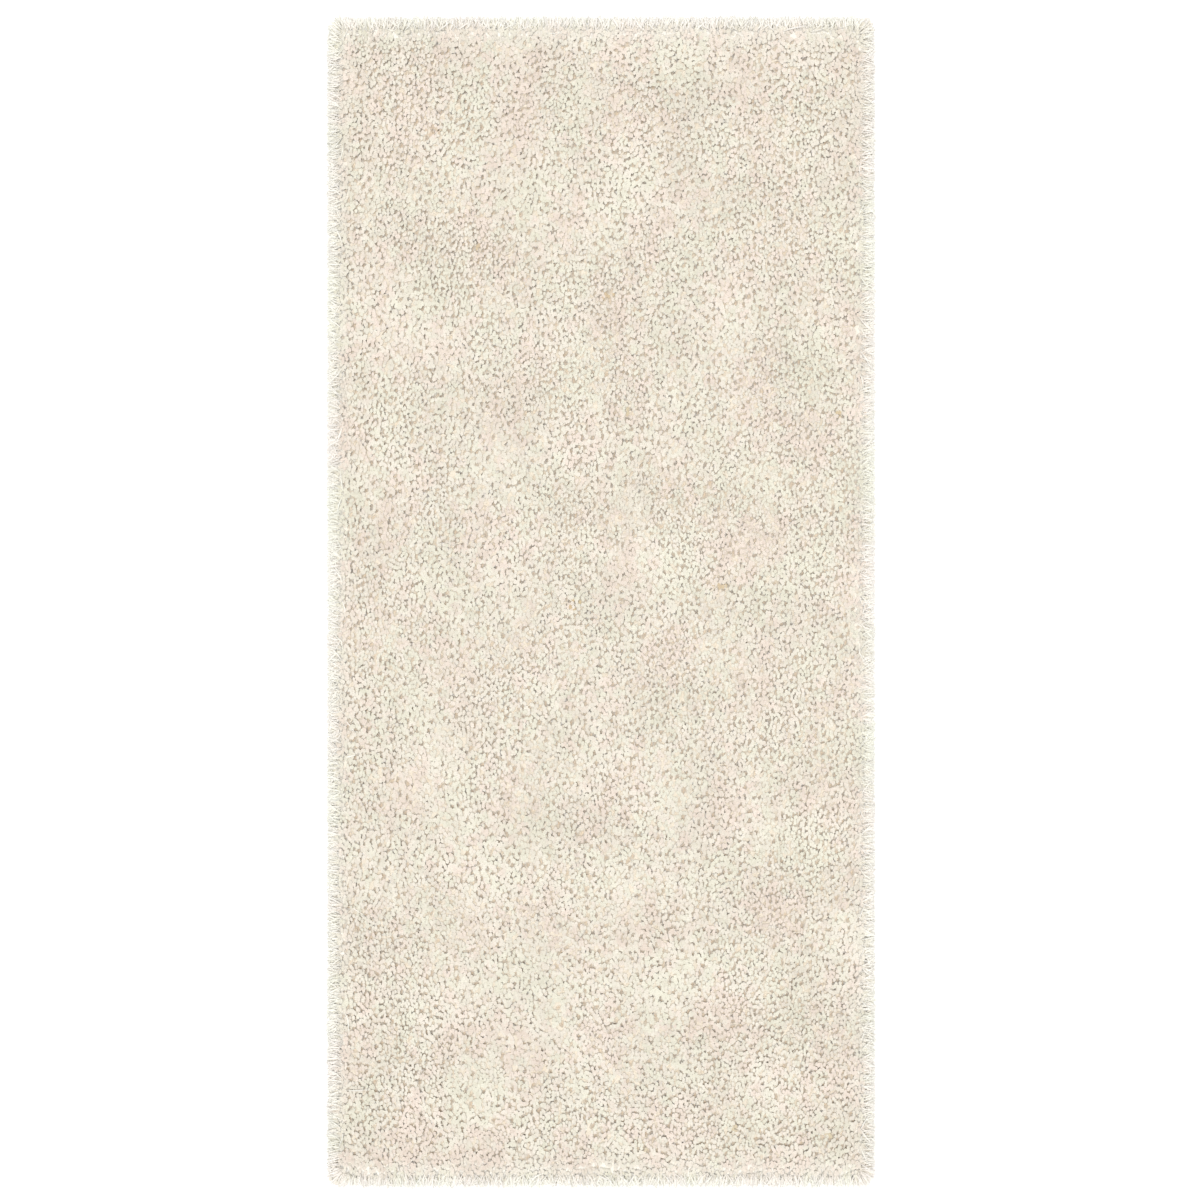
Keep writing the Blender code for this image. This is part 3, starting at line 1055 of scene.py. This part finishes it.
def lowerPileMaterial(setup):
    material = bpy.data.materials.new("packedYarn")
    material.use_nodes = True
    tree = material.node_tree
    shader = tree.nodes["Principled BSDF"]
    shader.inputs["Roughness"].default_value = setup["roughness"]
    shader.inputs["Sheen Weight"].default_value = setup["sheen"]
    place = addNode(tree, "ShaderNodeNewGeometry").outputs["Position"]
    noise = addNode(tree, "ShaderNodeTexNoise")
    noise.inputs["Scale"].default_value = setup["grain"]
    tree.links.new(place, noise.inputs["Vector"])
    low, high = setup["grainRange"]
    color = ramp(tree, noise.outputs["Fac"], (low, setup["darkColor"]), (high, setup["lightColor"]))
    # the paler edge, partly painted light that lifts the shade on the shoulder
    paleAndLit = addNode(tree, "ShaderNodeAttribute", attribute_name="edgePale").outputs["Fac"]
    edgeDark = tuple(setup["edgeDark"] * part for part in setup["edgePaleAndLitColor"])
    edge = ramp(tree, noise.outputs["Fac"], (low, edgeDark), (high, setup["edgePaleAndLitColor"]))
    color = blend(tree, paleAndLit, color, edge)
    # painted shade in the dips under the pits
    dip = addNode(tree, "ShaderNodeAttribute", attribute_name="dip").outputs["Fac"]
    share = tuple(deep / light for deep, light in zip(setup["dipShadeColor"], setup["lightColor"]))
    color = multiply(tree, color, ramp(tree, dip, (0.0, white), (setup["dipDark"], share)))
    tree.links.new(color, shader.inputs["Base Color"])
    bump = addNode(tree, "ShaderNodeBump")
    bump.inputs["Distance"].default_value = setup["grainDepth"]
    tree.links.new(noise.outputs["Fac"], bump.inputs["Height"])
    tree.links.new(bump.outputs["Normal"], shader.inputs["Normal"])
    return material


pilePieces.append(dress(lowerPileMesh(lowerPile), lowerPileMaterial(lowerPile), "pile"))
print("lower pile laid")


# the backing: a woven ground cloth, flat on the floor

backing = {
    "cell": 0.012,
    "unevenness": 0.0001,  # half of how much lower a place may lie
    "threadPitch": 0.0032,
    "threadWander": 0.4,
    "threadDepth": 0.0006,
    "lightFrom": 0.6,  # how high on a thread its light colour begins
    "roughness": 0.95,
    "color": (0.42, 0.33, 0.22, 1),
    # painted shade: darker where the weave lies low, between the threads
    "darkColor": (0.26, 0.20, 0.13, 1),
}


def backingMesh(setup):
    countX = round(2 * backingHalfWidth / setup["cell"])
    countY = round(2 * backingHalfLength / setup["cell"])
    gx, gy = np.meshgrid(
        np.linspace(-backingHalfWidth, backingHalfWidth, countX + 1),
        np.linspace(-backingHalfLength, backingHalfLength, countY + 1),
        indexing="ij",
    )
    gz = backingTop - rng.uniform(0, 2, gx.shape) * setup["unevenness"]
    top = np.stack([gx, gy, gz], axis=-1).reshape(-1, 3)
    under = top * (1, 1, 0)
    index = np.arange(len(top)).reshape(gx.shape)
    faces = gridFaces(index)
    border = gridBorder(index)
    after = np.roll(border, -1)
    walls = np.stack([border + len(top), after + len(top), after, border], axis=1)
    everything = np.concatenate([faces, faces[:, ::-1] + len(top), walls])
    mesh = bpy.data.meshes.new("backing_cloth")
    faceList = [tuple(face) for face in everything.tolist()]
    mesh.from_pydata(np.concatenate([top, under]).tolist(), [], faceList)
    mesh.update()
    piece = bpy.data.objects.new("backing_cloth", mesh)
    bpy.context.scene.collection.objects.link(piece)
    return piece


def backingMaterial(setup):
    material = bpy.data.materials.new("wovenBacking")
    material.use_nodes = True
    tree = material.node_tree
    shader = tree.nodes["Principled BSDF"]
    shader.inputs["Roughness"].default_value = setup["roughness"]
    place = addNode(tree, "ShaderNodeNewGeometry").outputs["Position"]
    waves = []
    for direction in ("X", "Y"):
        wave = addNode(tree, "ShaderNodeTexWave", wave_type="BANDS", bands_direction=direction)
        # one wave takes two threads
        wave.inputs["Scale"].default_value = 0.05 * math.pi / setup["threadPitch"]
        wave.inputs["Distortion"].default_value = setup["threadWander"]
        tree.links.new(place, wave.inputs["Vector"])
        waves.append(wave.outputs["Fac"])
    weave = combine(tree, "MULTIPLY", *waves)
    # painted shade between the threads, where the weave lies low
    color = ramp(tree, weave, (0.0, setup["darkColor"]), (setup["lightFrom"], setup["color"]))
    tree.links.new(color, shader.inputs["Base Color"])
    bump = addNode(tree, "ShaderNodeBump")
    bump.inputs["Distance"].default_value = setup["threadDepth"]
    tree.links.new(weave, bump.inputs["Height"])
    tree.links.new(bump.outputs["Normal"], shader.inputs["Normal"])
    return material


cloth = backingMesh(backing)
cloth.data.materials.append(backingMaterial(backing))
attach(cloth, "root")
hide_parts("backing")
print("backing cloth laid")

triangles = 0
for piece in pilePieces + [cloth]:
    triangles += sum(len(face.vertices) - 2 for face in piece.data.polygons)
print("triangles added:", triangles)
